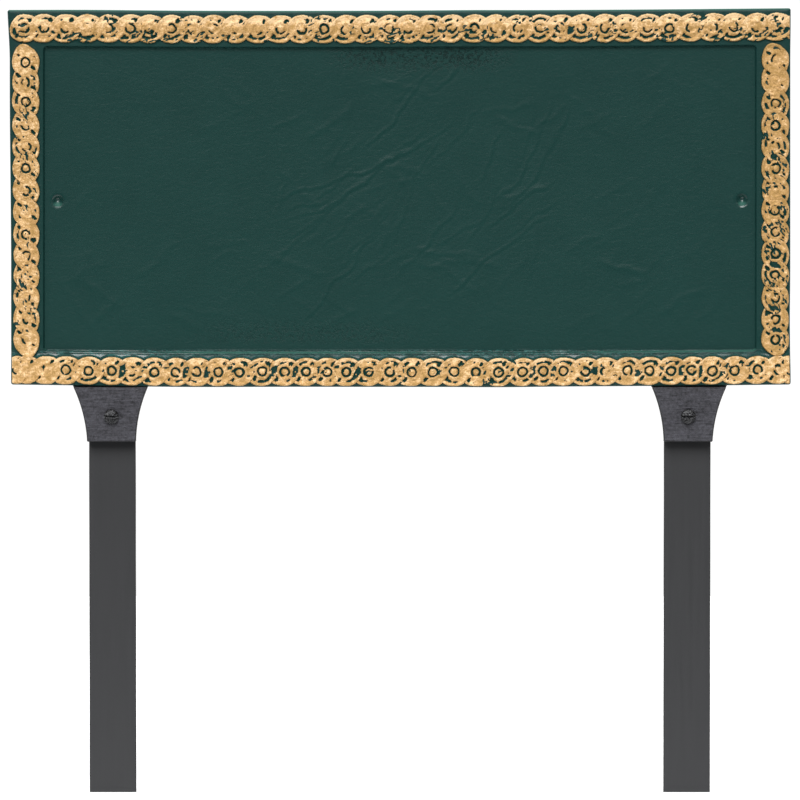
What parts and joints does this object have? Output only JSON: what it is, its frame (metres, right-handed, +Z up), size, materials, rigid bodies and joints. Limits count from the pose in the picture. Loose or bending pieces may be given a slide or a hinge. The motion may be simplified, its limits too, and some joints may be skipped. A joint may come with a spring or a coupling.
{
  "type": "staked address sign",
  "caption": "Blank rectangular cast sign panel with a raised rope border, held by flared brackets on flat-bar stakes set in the ground.",
  "frame": {"origin": "on the ground, midway between the two stakes and at the middle of their thickness", "axes": "+Z up, the sign's front faces -Y, +X to the right seen from the front"},
  "size_m": [0.4258, 0.022, 0.4263],
  "materials": {
    "panel_enamel": "cast aluminium in satin dark green enamel, gold paint dry-brushed over the raised border",
    "bracket_paint": "cast, in dark grey textured paint",
    "stake_paint": "flat steel bar in smooth dark grey paint",
    "black_steel": "blackened steel, semi-gloss"
  },
  "bodies": {
    "root": {"panel": "panel_enamel", "bracket_left": "bracket_paint", "bracket_right": "bracket_paint", "stake_left": "stake_paint", "stake_right": "stake_paint", "front_screw_left": "black_steel", "front_screw_right": "black_steel", "nut_left": "black_steel", "nut_right": "black_steel", "back_screw_left": "black_steel", "back_screw_right": "black_steel"}
  },
  "joints": []
}
